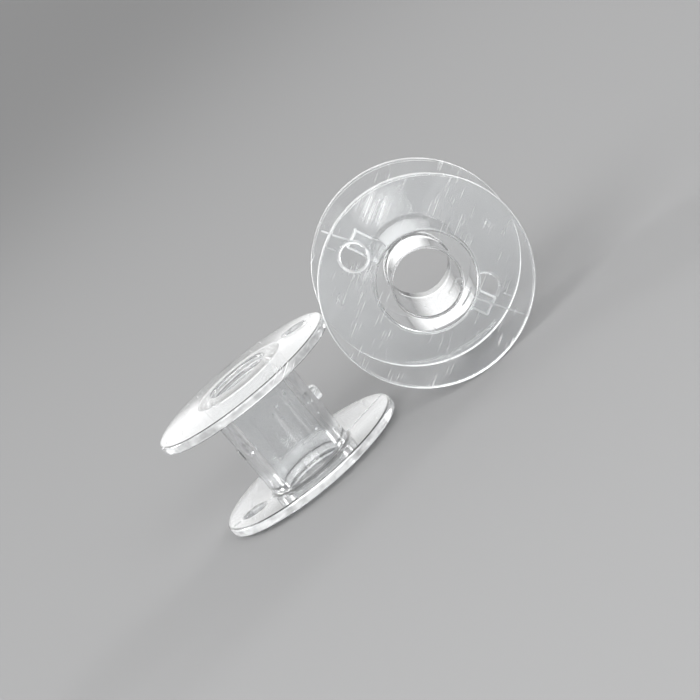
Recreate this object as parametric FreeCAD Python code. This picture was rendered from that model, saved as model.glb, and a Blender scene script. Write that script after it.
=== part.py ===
import FreeCAD, Part
import os

# Driving sizes of one bobbin, in millimetres
FLANGE_DIAMETER = 20.5
BOBBIN_HEIGHT = 12.6
RIM_DROP = 0.5
FLANGE_THICKNESS = 1.0
RIM_EDGE = 0.2
BARREL_DIAMETER = 9.4
BARREL_CORNER = 0.3
BORE_DIAMETER = 6.4
BORE_MOUTH = 0.3
THREAD_HOLE_DIAMETER = 2.6
THREAD_HOLE_PITCH_RADIUS = 7.3
THREAD_HOLE_EDGE = 0.15
# Angle from the stub line to the plane of the thread holes and the mould line, in degrees
THREAD_HOLE_LEAD = -7.0

# Gate stubs at half height and the parting ridge beside them
STUB_WIDTH = 2.0
STUB_HEIGHT = 1.4
STUB_EDGE = 0.2
RIDGE_WIDTH = 0.2
RIDGE_RISE = 0.06
RIDGE_RIM_MARGIN = 0.25
LONG_STUB_REACH = 2.9
SHORT_STUB_REACH = 0.6
TRIMMED_STUB_REACH = 0.15

# How the two bobbins lie together
SIDE_GAP = 0.05
DEPTH_OFFSET = 5.2
STANDING_STUB_ANGLE = 8.0
LYING_STUB_ANGLE = 115.0

# Sizes that follow from the driving ones
FLANGE_RADIUS = FLANGE_DIAMETER / 2
BARREL_RADIUS = BARREL_DIAMETER / 2
BORE_RADIUS = BORE_DIAMETER / 2
INNER_FACE = RIM_DROP + FLANGE_THICKNESS
WALL_MIDDLE_RADIUS = (BARREL_RADIUS + BORE_RADIUS) / 2
DISH_SLOPE = RIM_DROP / (FLANGE_RADIUS - BARREL_RADIUS)
HOLE_FACE = FLANGE_THICKNESS + DISH_SLOPE * (THREAD_HOLE_PITCH_RADIUS - BARREL_RADIUS)
UP = FreeCAD.Vector(0, 0, 1)
SIDEWAYS = FreeCAD.Vector(1, 0, 0)
ORIGIN = FreeCAD.Vector(0, 0, 0)


def at(radius, height):
    """A point of the half section, radius along X and height along Z."""
    return FreeCAD.Vector(radius, 0, height)


def flipped(point):
    """The same point on the other half of the bobbin."""
    return FreeCAD.Vector(point.x, 0, BOBBIN_HEIGHT - point.z)


def whole_face(lower):
    """The flat face of a half section's points and their mirror images."""
    points = lower + [flipped(point) for point in reversed(lower)]
    return Part.Face(Part.makePolygon(points + points[:1]))


def barrel_corner(rise):
    """The sloped corner between flange and barrel, lifted off both by rise."""
    return [
        at(BARREL_RADIUS + rise + BARREL_CORNER, FLANGE_THICKNESS + DISH_SLOPE * BARREL_CORNER + rise),
        at(BARREL_RADIUS + rise, FLANGE_THICKNESS + rise + BARREL_CORNER),
    ]


def spool():
    """Barrel, bore and both dished flanges of even thickness, turned from one section."""
    lower = [
        at(BORE_RADIUS, BORE_MOUTH),
        at(BORE_RADIUS + BORE_MOUTH, 0),
        at(BARREL_RADIUS, 0),
        at(FLANGE_RADIUS - RIM_EDGE, RIM_DROP),
        at(FLANGE_RADIUS, RIM_DROP + RIM_EDGE),
        at(FLANGE_RADIUS, INNER_FACE - RIM_EDGE),
        at(FLANGE_RADIUS - RIM_EDGE, INNER_FACE),
    ]
    return whole_face(lower + barrel_corner(0)).revolve(ORIGIN, UP, 360)


def parting_ridge():
    """The thin mould line over the barrel and the inner faces, on both sides."""
    rim_end = FLANGE_RADIUS - RIM_EDGE - RIDGE_RIM_MARGIN
    end_face = FLANGE_THICKNESS + DISH_SLOPE * (rim_end - BARREL_RADIUS)
    half_wall = FLANGE_THICKNESS / 2
    lower = [
        at(WALL_MIDDLE_RADIUS, half_wall),
        at(rim_end, end_face - half_wall),
        at(rim_end, end_face + RIDGE_RISE),
    ]
    plate = whole_face(lower + barrel_corner(RIDGE_RISE)).extrude(FreeCAD.Vector(0, RIDGE_WIDTH, 0))
    plate.translate(FreeCAD.Vector(0, -RIDGE_WIDTH / 2, 0))
    plate.rotate(ORIGIN, UP, THREAD_HOLE_LEAD)
    other = plate.copy()
    other.rotate(ORIGIN, UP, 180)
    return [plate, other]


def stub(reach, angle):
    """A snapped-off gate: a block on the barrel with softened end edges."""
    block = Part.makeBox(
        BARREL_RADIUS + reach - WALL_MIDDLE_RADIUS,
        STUB_WIDTH,
        STUB_HEIGHT,
        FreeCAD.Vector(WALL_MIDDLE_RADIUS, -STUB_WIDTH / 2, (BOBBIN_HEIGHT - STUB_HEIGHT) / 2),
    )
    end_edges = [edge for edge in block.Edges if edge.BoundBox.XMin > WALL_MIDDLE_RADIUS + reach / 2]
    block = block.makeChamfer(STUB_EDGE, end_edges)
    block.rotate(ORIGIN, UP, angle)
    return block


def thread_hole(angle, upper):
    """The drill for one thread hole, through one flange only and sunk at its inner face."""
    radius = THREAD_HOLE_DIAMETER / 2
    length = RIM_DROP + INNER_FACE + RIDGE_RISE + THREAD_HOLE_EDGE
    drill = Part.makeCylinder(radius, length, at(THREAD_HOLE_PITCH_RADIUS, -RIM_DROP), UP)
    sink_foot = at(THREAD_HOLE_PITCH_RADIUS, HOLE_FACE - THREAD_HOLE_EDGE)
    sink_rise = THREAD_HOLE_EDGE + DISH_SLOPE * THREAD_HOLE_DIAMETER
    sink = Part.makeCone(radius, radius + sink_rise, sink_rise, sink_foot, UP)
    tool = drill.fuse(sink)
    if upper:
        tool.rotate(at(0, BOBBIN_HEIGHT / 2), SIDEWAYS, 180)
    tool.rotate(ORIGIN, UP, angle)
    return tool


def bobbin(near_reach, far_reach):
    """One moulded bobbin standing on its hub, with the near stub along X."""
    solid = spool()
    additions = parting_ridge() + [stub(near_reach, 0), stub(far_reach, 180)]
    solid = solid.fuse(additions)
    solid = solid.cut(thread_hole(THREAD_HOLE_LEAD, False))
    solid = solid.cut(thread_hole(THREAD_HOLE_LEAD + 180, True))
    return solid.removeSplitter()


# Where the two bobbins go, so that the pair is centred on the origin
HALF_HEIGHT = BOBBIN_HEIGHT / 2
SPREAD = (FLANGE_DIAMETER + SIDE_GAP) / 2
BACK_EDGE = max(FLANGE_RADIUS, HALF_HEIGHT - DEPTH_OFFSET)
FRONT_EDGE = min(-FLANGE_RADIUS, -HALF_HEIGHT - DEPTH_OFFSET)
STANDING_Y = -(BACK_EDGE + FRONT_EDGE) / 2
LYING_Y = STANDING_Y - DEPTH_OFFSET

# The standing bobbin has its first flange on top
standing_bobbin = bobbin(SHORT_STUB_REACH, TRIMMED_STUB_REACH)
standing_bobbin.rotate(at(0, HALF_HEIGHT), SIDEWAYS, 180)
standing_bobbin.rotate(ORIGIN, UP, STANDING_STUB_ANGLE)
standing_bobbin.translate(FreeCAD.Vector(-SPREAD, STANDING_Y, 0))

# The lying bobbin rests on its two rims with its axis along Y
lying_bobbin = bobbin(LONG_STUB_REACH, LONG_STUB_REACH)
lying_bobbin.translate(FreeCAD.Vector(0, 0, -HALF_HEIGHT))
lying_bobbin.rotate(ORIGIN, UP, -LYING_STUB_ANGLE)
lying_bobbin.rotate(ORIGIN, SIDEWAYS, -90)
lying_bobbin.translate(FreeCAD.Vector(SPREAD, LYING_Y, FLANGE_RADIUS))

os.makedirs("parts", exist_ok=True)
for name, shape in (("standing_bobbin", standing_bobbin), ("lying_bobbin", lying_bobbin)):
    shape.exportStep("parts/" + name + ".step")
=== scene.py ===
import math
import random

import bmesh
import bpy
from mathutils import Matrix, Vector


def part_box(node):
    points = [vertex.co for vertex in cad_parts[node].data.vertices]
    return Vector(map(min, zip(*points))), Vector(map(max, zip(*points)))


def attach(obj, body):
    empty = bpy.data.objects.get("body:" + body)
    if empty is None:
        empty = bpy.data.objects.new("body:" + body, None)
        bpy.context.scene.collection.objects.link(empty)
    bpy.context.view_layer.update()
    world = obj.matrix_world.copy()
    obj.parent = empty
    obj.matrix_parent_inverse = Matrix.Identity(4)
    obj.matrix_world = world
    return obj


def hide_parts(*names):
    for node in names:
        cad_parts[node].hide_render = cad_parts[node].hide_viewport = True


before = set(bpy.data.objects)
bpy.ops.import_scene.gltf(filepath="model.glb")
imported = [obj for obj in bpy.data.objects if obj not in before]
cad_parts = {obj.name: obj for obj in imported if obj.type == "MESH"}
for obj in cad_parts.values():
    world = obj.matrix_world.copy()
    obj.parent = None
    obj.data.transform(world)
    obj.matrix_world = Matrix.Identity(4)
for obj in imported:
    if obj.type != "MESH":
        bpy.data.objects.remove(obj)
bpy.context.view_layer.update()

scene = bpy.context.scene
scene.view_settings.view_transform = "Standard"

# The scene is in metres; the sizes below are in millimetres, apart from the studio's
MM = 0.001

# Camera, found from the outlines of the two bobbins in the square picture
PICTURE_PIXELS = 700
FOCAL_PIXELS = 2625.1
SENSOR_WIDTH = 36.0
AZIMUTH = math.radians(4.147)
ELEVATION = math.radians(11.499)
ROLL = math.radians(39.417)
DISTANCE = 256.1
AIM_DEPTH = -1.975
AIM_RIGHT = 0.058
AIM_UP = 7.883
CLIP_NEAR = 10.0
CLIP_FAR = 100000.0

# One bobbin, standing on its hub
DIAMETER = 20.5
HEIGHT = 12.6
RIM_DROP = 0.5
THICKNESS = 1.0
BARREL = 9.4
BORE = 6.4
INNER_FACE = RIM_DROP + THICKNESS
SLOPE = RIM_DROP / (DIAMETER - BARREL) * 2
WALL_MIDDLE = (BARREL + BORE) / 4

# Rounded edges of the spool; guard points beside each arc keep the flat faces flat
BORE_EDGE = 0.3
HUB_EDGE = 20.0
RIM_EDGE = 0.28
BARREL_CORNER = 0.35
EDGE_STEPS = 7
EDGE_GUARD = 0.05
SPOOL_SEGMENTS = 160

# Thread holes, narrowest inside the flange and flared to both faces
HOLE = 2.6
HOLE_PITCH = 7.3
HOLE_LEAD = math.radians(-7.0)
HOLE_NARROWING = 0.06
HOLE_FLARE = 0.3
FLARE_STEPS = 5
DRILL_MARGIN = 0.25
DRILL_OVERRUN = 0.4
DRILL_SEGMENTS = 56

# Mould line, a thin ridge in the plane of the thread holes
RIDGE_RISE = 0.05
RIDGE_HALF_WIDTH = 0.09
RIDGE_CORNER = 0.3
RIDGE_RIM_MARGIN = 0.45

# Gate stubs at half height; an inset is a share of the half width
STUB_WIDTH = 2.0
STUB_HEIGHT = 1.4
LONG_REACH = 2.9
SHORT_REACH = 0.6
TRIMMED_REACH = 0.15
LONG_FROM = 1.0
TRIMMED_UNTIL = 0.3
LONG_BEVEL = 0.2
LONG_INSET = 0.66
BLUNT_BEVEL = 0.3
BLUNT_INSET = 0.5
MIDDLE_INSET = 0.3
END_DENT = 0.06
BEVEL_STEPS = 3
BEVEL_ROUND = 0.5

# How the meshes are cleaned and smoothed
MERGE_DISTANCE = 1e-5
SLIVER_DISTANCE = 1e-4
SMOOTH_ANGLE = math.radians(38)

# How the two bobbins are turned, and the seeds of their broken stubs
STANDING_TURN = Matrix.Rotation(math.radians(8.0), 4, "Z") @ Matrix.Rotation(math.pi, 4, "X")
LYING_TURN = Matrix.Rotation(math.radians(-90), 4, "X") @ Matrix.Rotation(math.radians(-115.0), 4, "Z")
STANDING_SEED = 3
LYING_SEED = 11

# Frosting, from 0 for clear to 1 for white
TRIMMED_FROST = 0.3
SHORT_FROST = 0.5
# Painted highlight: a long stub's edges are whitened in place of the bright lines that light would give
# them
LONG_EDGE_PAINTED_HIGHLIGHT = 1.0
LONG_FACE_FROST = 0.12
LINE_FROST = 0.45
HOLE_FROST = 0.6

# How far from its edge or surface each kind of wear or painted highlight reaches
STUB_SIDE_BAND = 0.21
STUB_END_BAND = 0.27
RIM_BAND = 0.1
HOLE_BAND = 0.26
LINE_BAND = 0.1
LINE_START = 0.3
LINE_TOP = 0.2
LINE_BARREL_TOP = 0.1
PROUD_LEAST = 0.02
BARREL_BAND = 0.06
BORE_BAND = 0.05

# Clear plastic: patterns have a size, a detail and the two limits between which they fade in
PLASTIC_COLOUR = (0.95, 0.96, 0.965, 1)
PLASTIC_IOR = 1.58
LEVEL = (0.0, 0.0, 0.0)
SLANT = (0.0, -0.53, 0.0)
PATCHES = dict(size=(5.0, 5.0, 5.0), detail=1.0, limits=(0.42, 0.58))
SCRATCHES = dict(size=(3.2, 5.0, 0.085), detail=0.0, limits=(0.71, 0.80), turn=SLANT)
STROKES = dict(size=(6.0, 6.0, 0.09), detail=1.0, limits=(0.36, 0.66), turn=SLANT)
HAZE = dict(size=(6.0, 2.5, 2.5), detail=3.0, limits=(0.5, 0.75), turn=SLANT)
CHIPS = dict(size=(1.3, 1.3, 1.3), detail=3.0, limits=(0.3, 0.7))
DRAWN_LINES = dict(size=(0.35, 40.0, 12.0), detail=1.0, limits=(0.56, 0.72))
WAVE_SIZE = (9.0, 9.0, 9.0)
WAVE_DETAIL = 0.0
SPECK_SIZE = (1.9, 1.9, 1.9)
SPECK_LIMITS = (0.11, 0.05)
SCUFF_PLACE = (10.7, -10.4, 18.9)
SCUFF_LIMITS = (2.6, 0.4)

# What each mark adds to the plastic's roughness, to its cloudiness and to its relief
ROUGHNESS = dict(haze=0.06, scratch=0.3, scuff=0.35, frost_and_highlight=0.25, rims=0.08)
ROUGHNESS_BASE = 0.012
# Part of this cloudiness is painted highlight: it whitens a long stub's edges and, in part, the rims
CLOUD = dict(haze=0.05, scratch=0.4, scuff=0.5, frost_and_highlight=0.95, rims=0.3, chips=0.25, specks=0.6, drawn=0.14)
CLOUD_BASE = 0.05
RELIEF = dict(waves=1.0, scratch=-0.15, drawn=0.08)
RELIEF_STRENGTH = 0.1
RELIEF_DEPTH = 0.2

# Floor, in metres
FLOOR_REACH = 6.0
FLOOR_COLOUR = (0.36, 0.36, 0.363, 1)
FLOOR_ROUGHNESS = 0.9
FLOOR_SHINE = 0.1

# Room light: limits in the height or depth of a direction, and the levels that it fades between
ROOM_COLOUR = (1, 1, 1, 1)
HORIZON_RISE = dict(limits=(0.0, 0.2), levels=(0.08, 1.0))
CEILING_FALL = dict(limits=(0.2, 0.75), levels=(1.3, 0.0))
FRONT_TO_BACK = dict(limits=(-0.7, 0.35), levels=(0.85, 1.0))
AMBIENT = 0.4

# Softboxes: name, place and aim in metres, width and height in metres, watts
SOFTBOXES = (
    ("key", (-0.25, -0.4, 0.35), (0, 0, 0.005), (0.3, 0.3), 1.4),
    ("front", (0.12, -0.5, 0.22), (0, 0, 0.01), (0.4, 0.2), 1.6),
    ("left", (-0.4, 0.22, 0.14), (0, 0, 0.008), (0.1, 0.24), 0.7),
    ("right", (0.4, 0.22, 0.14), (0, 0, 0.008), (0.1, 0.24), 0.7),
)


def place_camera():
    """A level camera aimed at the pair, then rolled as the picture is."""
    back = Vector((
        math.sin(AZIMUTH) * math.cos(ELEVATION),
        -math.cos(AZIMUTH) * math.cos(ELEVATION),
        math.sin(ELEVATION),
    ))
    right = Vector((math.cos(AZIMUTH), math.sin(AZIMUTH), 0.0))
    up = back.cross(right)
    target = (Vector((0, AIM_DEPTH, 0)) + right * AIM_RIGHT + up * AIM_UP) * MM
    view = bpy.data.cameras.new("camera")
    view.sensor_width = SENSOR_WIDTH
    view.lens = SENSOR_WIDTH * FOCAL_PIXELS / PICTURE_PIXELS
    view.clip_start = CLIP_NEAR * MM
    view.clip_end = CLIP_FAR * MM
    camera = bpy.data.objects.new("camera", view)
    scene.collection.objects.link(camera)
    upright = Matrix((right, up, back)).transposed()
    rolled = upright @ Matrix.Rotation(-ROLL, 3, "Z")
    camera.matrix_world = Matrix.Translation(target + back * (DISTANCE * MM)) @ rolled.to_4x4()
    scene.camera = camera


def fillet(points, radii, steps, guard=0.0):
    """A closed outline with each corner rounded to its radius, and a guard point beside each arc."""
    outline = []
    for index, (corner, radius) in enumerate(zip(points, radii)):
        if radius <= 0:
            outline.append(corner)
            continue
        before = (points[index - 1] - corner).normalized()
        after = (points[(index + 1) % len(points)] - corner).normalized()
        half = before.angle(after) / 2
        reach = radius / math.tan(half)
        centre = corner + (before + after).normalized() * radius / math.sin(half)
        start = corner + before * reach - centre
        end = corner + after * reach - centre
        sweep = start.angle_signed(end)
        if guard:
            outline.append(corner + before * (reach + guard))
        for step in range(steps + 1):
            turn = -sweep * step / steps
            cos, sin = math.cos(turn), math.sin(turn)
            outline.append(centre + Vector((start.x * cos - start.y * sin, start.x * sin + start.y * cos)))
        if guard:
            outline.append(corner + after * (reach + guard))
    return outline


def mesh_from(verts, faces, name):
    """A mesh with doubled points and loose edges taken out and its faces turned outwards."""
    mesh = bpy.data.meshes.new(name)
    mesh.from_pydata(verts, [], faces)
    bm = bmesh.new()
    bm.from_mesh(mesh)
    bmesh.ops.remove_doubles(bm, verts=bm.verts, dist=MERGE_DISTANCE)
    loose = [edge for edge in bm.edges if not edge.link_faces]
    bmesh.ops.delete(bm, geom=loose, context="EDGES")
    bmesh.ops.recalc_face_normals(bm, faces=bm.faces)
    bm.to_mesh(mesh)
    bm.free()
    return mesh


def lathe(outline, segments, name):
    """A ring of quads from a closed outline of (radius, height)."""
    count = len(outline)
    verts = []
    faces = []
    for segment in range(segments):
        angle = 2 * math.pi * segment / segments
        verts += [(point.x * math.cos(angle), point.x * math.sin(angle), point.y) for point in outline]
        here = segment * count
        beside = (segment + 1) % segments * count
        for first in range(count):
            second = (first + 1) % count
            faces.append((here + first, beside + first, beside + second, here + second))
    return mesh_from(verts, faces, name)


def combine(mesh, tool, operation):
    """The mesh joined with, or cut by, a tool."""
    body = bpy.data.objects.new("body", mesh)
    other = bpy.data.objects.new("tool", tool)
    scene.collection.objects.link(body)
    scene.collection.objects.link(other)
    modifier = body.modifiers.new("combine", "BOOLEAN")
    modifier.object = other
    modifier.operation = operation
    modifier.solver = "EXACT"
    graph = bpy.context.evaluated_depsgraph_get()
    result = bpy.data.meshes.new_from_object(body.evaluated_get(graph))
    bpy.data.objects.remove(body)
    bpy.data.objects.remove(other)
    if len(result.vertices) < len(mesh.vertices) / 2:
        raise RuntimeError("a joined or cut mesh came out empty")
    return result


def spool():
    """Barrel, bore and dished flanges of even thickness with softened edges."""
    lower = [
        ((BORE / 2, 0), BORE_EDGE),
        ((BARREL / 2, 0), HUB_EDGE),
        ((DIAMETER / 2, RIM_DROP), RIM_EDGE),
        ((DIAMETER / 2, INNER_FACE), RIM_EDGE),
        ((BARREL / 2, THICKNESS), BARREL_CORNER),
    ]
    upper = [((radius, HEIGHT - height), edge) for (radius, height), edge in reversed(lower)]
    corners = lower + upper
    points = [Vector(point) for point, edge in corners]
    edges = [edge for point, edge in corners]
    return lathe(fillet(points, edges, EDGE_STEPS, EDGE_GUARD), SPOOL_SEGMENTS, "spool")


def stub(reach, angle, seed):
    """A snapped-off gate: a block with an uneven end, crisp where long and blunt where short."""
    rng = random.Random(seed)
    bm = bmesh.new()
    end = BARREL / 2 + reach
    bevel, inset = (LONG_BEVEL, LONG_INSET) if reach > LONG_FROM else (BLUNT_BEVEL, BLUNT_INSET)
    across = (-1.0, -inset, -MIDDLE_INSET, 0.0, MIDDLE_INSET, inset, 1.0)
    xs = (WALL_MIDDLE, (WALL_MIDDLE + end) / 2, end - bevel - END_DENT, end)
    ys = [STUB_WIDTH / 2 * share for share in across]
    zs = [STUB_HEIGHT / 2 * share for share in across]
    nx, ny, nz = len(xs) - 1, len(ys) - 1, len(zs) - 1
    grid = {}
    for i in range(nx + 1):
        for j in range(ny + 1):
            for k in range(nz + 1):
                if i in (0, nx) or j in (0, ny) or k in (0, nz):
                    dent = rng.uniform(0.0, END_DENT) if i == nx else 0.0
                    grid[i, j, k] = bm.verts.new((xs[i] - dent, ys[j], zs[k] + HEIGHT / 2))

    def quad(*corners):
        bm.faces.new([grid[corner] for corner in corners])

    for i in range(nx):
        for j in range(ny):
            for k in (0, nz):
                quad((i, j, k), (i + 1, j, k), (i + 1, j + 1, k), (i, j + 1, k))
        for k in range(nz):
            for j in (0, ny):
                quad((i, j, k), (i + 1, j, k), (i + 1, j, k + 1), (i, j, k + 1))
    for j in range(ny):
        for k in range(nz):
            for i in (0, nx):
                quad((i, j, k), (i, j + 1, k), (i, j + 1, k + 1), (i, j, k + 1))
    bmesh.ops.recalc_face_normals(bm, faces=bm.faces)

    def side(index, last):
        """0 on the first layer of points, 1 on the last and -1 between them."""
        return index // last if index % last == 0 else -1

    sides = {vert: (side(i, nx), side(j, ny), side(k, nz)) for (i, j, k), vert in grid.items()}

    def on_corner(edge):
        """True where both ends of the edge lie on the same two sides of the block."""
        first, second = (sides[vert] for vert in edge.verts)
        return sum(a == b != -1 for a, b in zip(first, second)) > 1

    corners = [edge for edge in bm.edges if on_corner(edge)]
    rounding = dict(offset=bevel, segments=BEVEL_STEPS, profile=BEVEL_ROUND)
    bmesh.ops.bevel(bm, geom=corners, affect="EDGES", **rounding)
    bmesh.ops.rotate(bm, verts=bm.verts, cent=(0, 0, 0), matrix=Matrix.Rotation(angle, 3, "Z"))
    mesh = bpy.data.meshes.new("stub")
    bm.to_mesh(mesh)
    bm.free()
    return mesh


def ridge(angle):
    """The thin mould line over the barrel and the inner faces, on one side."""
    end = DIAMETER / 2 - RIDGE_RIM_MARGIN
    top = BARREL / 2 + RIDGE_RISE
    face = THICKNESS + SLOPE * (end - BARREL / 2)
    lower = [
        (WALL_MIDDLE, THICKNESS / 2),
        (end, face - THICKNESS / 2),
        (end, face + RIDGE_RISE),
        (top + RIDGE_CORNER, THICKNESS + RIDGE_RISE + SLOPE * RIDGE_CORNER),
        (top, THICKNESS + RIDGE_RISE + RIDGE_CORNER),
    ]
    points = lower + [(radius, HEIGHT - height) for radius, height in reversed(lower)]
    count = len(points)
    verts = [(x, y, z) for y in (-RIDGE_HALF_WIDTH, RIDGE_HALF_WIDTH) for x, z in points]
    faces = [tuple(range(count)), tuple(reversed(range(count, 2 * count)))]
    faces += [(i, count + i, count + (i + 1) % count, (i + 1) % count) for i in range(count)]
    mesh = mesh_from(verts, faces, "ridge")
    mesh.transform(Matrix.Rotation(angle, 4, "Z"))
    return mesh


def drill(angle, upper):
    """The tool for one thread hole, square to its flange and flared at both faces."""
    waist = HOLE / 2 - HOLE_NARROWING
    wide = waist + HOLE_FLARE + DRILL_MARGIN
    outside = [(0.0, -DRILL_OVERRUN), (wide, -DRILL_OVERRUN), (wide, 0.0), (waist, 0.0)]
    inside = [(radius, THICKNESS - height) for radius, height in reversed(outside)]
    radii = [0, 0, 0, HOLE_FLARE, HOLE_FLARE, 0, 0, 0]
    outline = fillet([Vector(point) for point in outside + inside], radii, FLARE_STEPS)
    mesh = lathe(outline, DRILL_SEGMENTS, "drill")
    seat = Matrix.Translation((HOLE_PITCH, 0, SLOPE * (HOLE_PITCH - BARREL / 2)))
    mesh.transform(seat @ Matrix.Rotation(-math.atan(SLOPE), 4, "Y"))
    if upper:
        mesh.transform(Matrix.Translation((0, 0, HEIGHT)) @ Matrix.Scale(-1, 4, (0, 0, 1)))
        mesh.flip_normals()
    mesh.transform(Matrix.Rotation(angle, 4, "Z"))
    return mesh


def tidy_faces(mesh):
    """Take out slivers and split the faces of more than four corners."""
    bm = bmesh.new()
    bm.from_mesh(mesh)
    bmesh.ops.dissolve_degenerate(bm, dist=SLIVER_DISTANCE, edges=bm.edges)
    bmesh.ops.triangulate(bm, faces=[face for face in bm.faces if len(face.verts) > 4])
    bm.to_mesh(mesh)
    bm.free()


def stub_frost_and_highlight(x, y, from_middle, reach):
    """The frosting of a gate stub: white along the edges of a long one as a painted highlight, even on a
    short one.
    """
    if reach < TRIMMED_UNTIL:
        return TRIMMED_FROST
    if reach < LONG_FROM:
        return SHORT_FROST
    near_side = abs(y) > STUB_WIDTH / 2 - STUB_SIDE_BAND
    near_face = from_middle > STUB_HEIGHT / 2 - STUB_SIDE_BAND
    near_end = abs(x) > BARREL / 2 + reach - STUB_END_BAND
    # The white edges of a long stub are a painted highlight
    return LONG_EDGE_PAINTED_HIGHLIGHT if near_side + near_face + near_end > 1 else LONG_FACE_FROST


def wear_and_highlight_at(point, reaches):
    """Frosting at a point, painted highlight on a long stub's edges included, and 1 or 0 for barrel or
    bore, for rim, and for thread hole.
    """
    x, y, z = point
    radius = math.hypot(x, y)
    from_middle = abs(z - HEIGHT / 2)

    on_stub = (
        from_middle < STUB_HEIGHT / 2 + PROUD_LEAST
        and abs(y) < STUB_WIDTH / 2 + PROUD_LEAST
        and radius > BARREL / 2 + PROUD_LEAST
    )
    frost_and_highlight = on_stub * stub_frost_and_highlight(x, y, from_middle, reaches[0] if x > 0 else reaches[1])

    aside = abs(y * math.cos(HOLE_LEAD) - x * math.sin(HOLE_LEAD))
    above_flange = HEIGHT / 2 - from_middle - THICKNESS - SLOPE * (radius - BARREL / 2)
    flange_line = PROUD_LEAST < above_flange < LINE_TOP and radius > BARREL / 2 + LINE_START
    barrel_line = PROUD_LEAST < radius - BARREL / 2 < LINE_BARREL_TOP
    if aside < LINE_BAND and (flange_line or barrel_line):
        frost_and_highlight = max(frost_and_highlight, LINE_FROST)

    between_flanges = from_middle < HEIGHT / 2 - THICKNESS
    in_bore = radius < BORE / 2 + BORE_BAND
    barrel = radius < BARREL / 2 + BARREL_BAND and (between_flanges or in_bore)

    turn = HOLE_LEAD if z < HEIGHT / 2 else HOLE_LEAD + math.pi
    from_hole = math.hypot(x - HOLE_PITCH * math.cos(turn), y - HOLE_PITCH * math.sin(turn))
    sunk = from_hole < HOLE / 2 + HOLE_BAND and from_middle > HEIGHT / 2 - INNER_FACE - RIDGE_RISE

    return frost_and_highlight, float(barrel), float(radius > DIAMETER / 2 - RIM_BAND), float(sunk)


def paint_wear_and_highlight(mesh, reaches):
    """Keep each face's wear and painted highlight as a colour: frosting in red, with a painted highlight
    on a long stub's edges, barrel in green, rims and hole edges in blue, the rims' whitening partly a
    painted highlight.
    """
    marks = [wear_and_highlight_at(vert.co, reaches) for vert in mesh.vertices]
    wear_and_highlight = mesh.attributes.new("wear_and_highlight", "FLOAT_COLOR", "CORNER")
    sunk_faces = {}
    for poly in mesh.polygons:
        frost_and_highlight, barrel, rim, sunk = (min(kind) for kind in zip(*(marks[i] for i in poly.vertices)))
        for i in poly.loop_indices:
            wear_and_highlight.data[i].color = (frost_and_highlight, barrel, max(rim, sunk * HOLE_FROST), 1.0)
        for key in poly.edge_keys:
            sunk_faces[key] = sunk_faces.get(key, 0) + sunk
    # An edge with a hole's flare on one side only is sharp, so that the flat faces keep their own normals
    sharp = mesh.attributes.get("sharp_edge")
    if sharp is None:
        sharp = mesh.attributes.new("sharp_edge", "BOOLEAN", "EDGE")
    for edge in mesh.edges:
        if sunk_faces.get(edge.key) == 1.0:
            sharp.data[edge.index].value = True


def bobbin(name, reaches, seed):
    """One moulded bobbin with its mould lines, gate stubs, thread holes, wear and painted highlights."""
    mesh = spool()
    for half, reach in enumerate(reaches):
        mesh = combine(mesh, ridge(HOLE_LEAD + math.pi * half), "UNION")
        mesh = combine(mesh, stub(reach, math.pi * half, seed + half), "UNION")
    mesh = combine(mesh, drill(HOLE_LEAD, False), "DIFFERENCE")
    mesh = combine(mesh, drill(HOLE_LEAD + math.pi, True), "DIFFERENCE")
    tidy_faces(mesh)
    for poly in mesh.polygons:
        poly.use_smooth = True
    mesh.set_sharp_from_angle(angle=SMOOTH_ANGLE)
    paint_wear_and_highlight(mesh, reaches)
    mesh.name = name
    mesh.materials.clear()
    return mesh


def move_to_node(mesh, node, turn):
    """Turn a bobbin about its middle and put it, in metres, where the node is."""
    low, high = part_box(node)
    centre = Matrix.Translation((Vector(low) + Vector(high)) / 2)
    to_middle = Matrix.Translation((0, 0, -HEIGHT / 2))
    mesh.transform(centre @ Matrix.Scale(MM, 4) @ turn @ to_middle)


def fade(tree, value, limits, levels=(0.0, 1.0)):
    """A value eased from one level to the other between two limits."""
    ramp = tree.nodes.new("ShaderNodeMapRange")
    ramp.interpolation_type = "SMOOTHSTEP"
    for socket, number in zip(("From Min", "From Max", "To Min", "To Max"), (*limits, *levels)):
        ramp.inputs[socket].default_value = number
    tree.links.new(value, ramp.inputs["Value"])
    return ramp.outputs["Result"]


def calc(tree, operation, *values):
    """A math node on sockets or plain numbers."""
    node = tree.nodes.new("ShaderNodeMath")
    node.operation = operation
    for socket, value in zip(node.inputs, values):
        if isinstance(value, (int, float)):
            socket.default_value = value
        else:
            tree.links.new(value, socket)
    return node.outputs[0]


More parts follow.
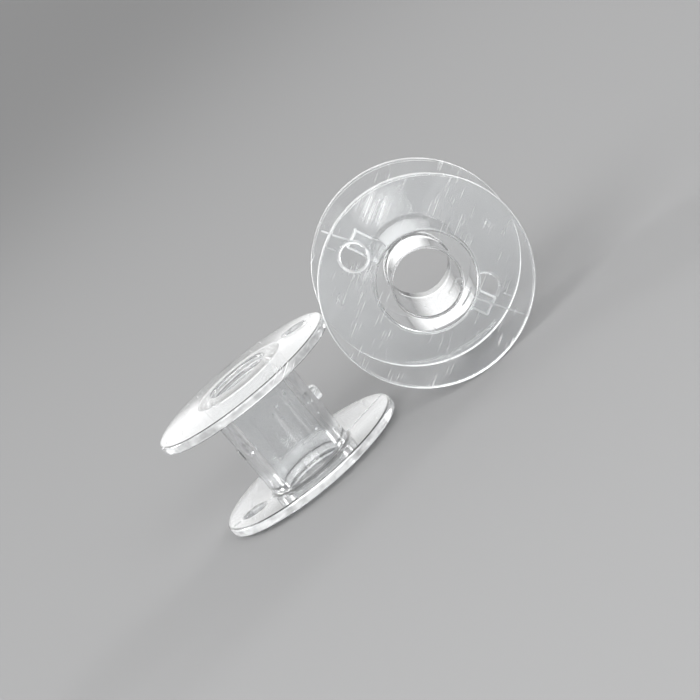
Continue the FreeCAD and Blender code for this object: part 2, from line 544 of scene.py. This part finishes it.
def clear_plastic(name):
    """Clear plastic with fine scratches, a scuff, haze, specks, drawn lines and frosted breaks, and a
    painted highlight as white on a long stub's edges and, in part, on the rims.
    """
    material = bpy.data.materials.new(name)
    material.use_nodes = True
    tree = material.node_tree
    shader = tree.nodes["Principled BSDF"]
    shader.inputs["Base Color"].default_value = PLASTIC_COLOUR
    shader.inputs["IOR"].default_value = PLASTIC_IOR
    coords = tree.nodes.new("ShaderNodeTexCoord").outputs["Object"]

    def placed(size, turn=LEVEL):
        """The object's coordinates, turned, with a size as the unit."""
        place = tree.nodes.new("ShaderNodeMapping")
        place.vector_type = "TEXTURE"
        place.inputs["Rotation"].default_value = turn
        place.inputs["Scale"].default_value = [length * MM for length in size]
        tree.links.new(coords, place.inputs["Vector"])
        return place.outputs["Vector"]

    def noise(vector, detail):
        texture = tree.nodes.new("ShaderNodeTexNoise")
        texture.inputs["Scale"].default_value = 1.0
        texture.inputs["Detail"].default_value = detail
        tree.links.new(vector, texture.inputs["Vector"])
        return texture.outputs["Fac"]

    def pattern(size, detail, limits, turn=LEVEL):
        return fade(tree, noise(placed(size, turn), detail), limits)

    def spots(size, limits):
        """Small round dots, one in each cell of a size."""
        cells = tree.nodes.new("ShaderNodeTexVoronoi")
        cells.inputs["Scale"].default_value = 1.0
        tree.links.new(placed(size), cells.inputs["Vector"])
        return fade(tree, cells.outputs["Distance"], limits)

    def near(point, limits):
        """A patch round a point, faded out between two distances."""
        away = tree.nodes.new("ShaderNodeVectorMath")
        away.operation = "DISTANCE"
        away.inputs[1].default_value = [length * MM for length in point]
        tree.links.new(coords, away.inputs[0])
        return fade(tree, away.outputs["Value"], [length * MM for length in limits])

    def product(*values):
        return calc(tree, "MULTIPLY", *values)

    wear_and_highlight = tree.nodes.new("ShaderNodeAttribute")
    wear_and_highlight.attribute_name = "wear_and_highlight"
    split = tree.nodes.new("ShaderNodeSeparateColor")
    tree.links.new(wear_and_highlight.outputs["Color"], split.inputs["Color"])
    frost_and_highlight, barrel, rims = split.outputs

    off_barrel = calc(tree, "SUBTRACT", 1.0, barrel)
    marks = dict(
        haze=pattern(**HAZE),
        scratch=product(product(pattern(**SCRATCHES), pattern(**PATCHES)), off_barrel),
        scuff=product(pattern(**STROKES), near(SCUFF_PLACE, SCUFF_LIMITS)),
        frost_and_highlight=frost_and_highlight,
        # Painted highlight in part: the rims are whitened so that they read as bright lines, with real
        # wear in the chips
        rims=rims,
        chips=product(rims, pattern(**CHIPS)),
        specks=product(spots(SPECK_SIZE, SPECK_LIMITS), barrel),
        drawn=product(pattern(**DRAWN_LINES), barrel),
        waves=noise(placed(WAVE_SIZE), WAVE_DETAIL),
    )

    def mixed(weights, base=0.0):
        """The marks added up by their weights, and a base level."""
        parts = [product(marks[mark], weight) for mark, weight in weights.items()]
        total = parts[0]
        for part in parts[1:] + [base]:
            total = calc(tree, "ADD", total, part)
        return total

    tree.links.new(mixed(ROUGHNESS, ROUGHNESS_BASE), shader.inputs["Roughness"])
    clearness = calc(tree, "SUBTRACT", 1.0, mixed(CLOUD, CLOUD_BASE))
    clearness.node.use_clamp = True
    tree.links.new(clearness, shader.inputs["Transmission Weight"])
    bump = tree.nodes.new("ShaderNodeBump")
    bump.inputs["Strength"].default_value = RELIEF_STRENGTH
    bump.inputs["Distance"].default_value = RELIEF_DEPTH * MM
    tree.links.new(mixed(RELIEF), bump.inputs["Height"])
    tree.links.new(bump.outputs["Normal"], shader.inputs["Normal"])
    return material


def plain_floor():
    """A wide matt floor."""
    material = bpy.data.materials.new("floor")
    material.use_nodes = True
    shader = material.node_tree.nodes["Principled BSDF"]
    shader.inputs["Base Color"].default_value = FLOOR_COLOUR
    shader.inputs["Roughness"].default_value = FLOOR_ROUGHNESS
    shader.inputs["Specular IOR Level"].default_value = FLOOR_SHINE
    corners = [(x * FLOOR_REACH, y * FLOOR_REACH, 0) for x, y in ((-1, -1), (1, -1), (1, 1), (-1, 1))]
    mesh = bpy.data.meshes.new("floor")
    mesh.from_pydata(corners, [], [(0, 1, 2, 3)])
    mesh.materials.append(material)
    floor = bpy.data.objects.new("floor", mesh)
    scene.collection.objects.link(floor)


def room_light():
    """A pale room, brightest a little above the horizon and a little brighter behind."""
    world = bpy.data.worlds.new("world")
    scene.world = world
    world.use_nodes = True
    tree = world.node_tree
    coords = tree.nodes.new("ShaderNodeTexCoord")
    axes = tree.nodes.new("ShaderNodeSeparateXYZ")
    tree.links.new(coords.outputs["Generated"], axes.inputs[0])
    rise = fade(tree, axes.outputs["Z"], **HORIZON_RISE)
    fall = fade(tree, axes.outputs["Z"], **CEILING_FALL)
    depth = fade(tree, axes.outputs["Y"], **FRONT_TO_BACK)
    glow = calc(tree, "MULTIPLY_ADD", calc(tree, "MULTIPLY", rise, fall), depth, AMBIENT)
    background = tree.nodes["Background"]
    background.inputs["Color"].default_value = ROOM_COLOUR
    tree.links.new(glow, background.inputs["Strength"])


def softbox(name, place, aim, size, watts):
    """A soft rectangular lamp that the camera doesn't see."""
    light = bpy.data.lights.new(name, "AREA")
    light.shape = "RECTANGLE"
    light.size, light.size_y = size
    light.energy = watts
    lamp = bpy.data.objects.new(name, light)
    scene.collection.objects.link(lamp)
    lamp.location = place
    lamp.rotation_euler = (Vector(aim) - Vector(place)).to_track_quat("-Z", "Y").to_euler()
    lamp.visible_camera = False


place_camera()

standing_mesh = bobbin("standing_clear", (SHORT_REACH, TRIMMED_REACH), STANDING_SEED)
move_to_node(standing_mesh, "standing_bobbin", STANDING_TURN)
lying_mesh = bobbin("lying_clear", (LONG_REACH, LONG_REACH), LYING_SEED)
move_to_node(lying_mesh, "lying_bobbin", LYING_TURN)

plastic = clear_plastic("clear_plastic")
PIECES = (
    (standing_mesh, "standing", "standing_bobbin"),
    (lying_mesh, "lying", "lying_bobbin"),
)
for mesh, body, node in PIECES:
    mesh.materials.append(plastic)
    piece = bpy.data.objects.new(mesh.name, mesh)
    scene.collection.objects.link(piece)
    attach(piece, body)
    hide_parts(node)

plain_floor()
room_light()
for lamp in SOFTBOXES:
    softbox(*lamp)
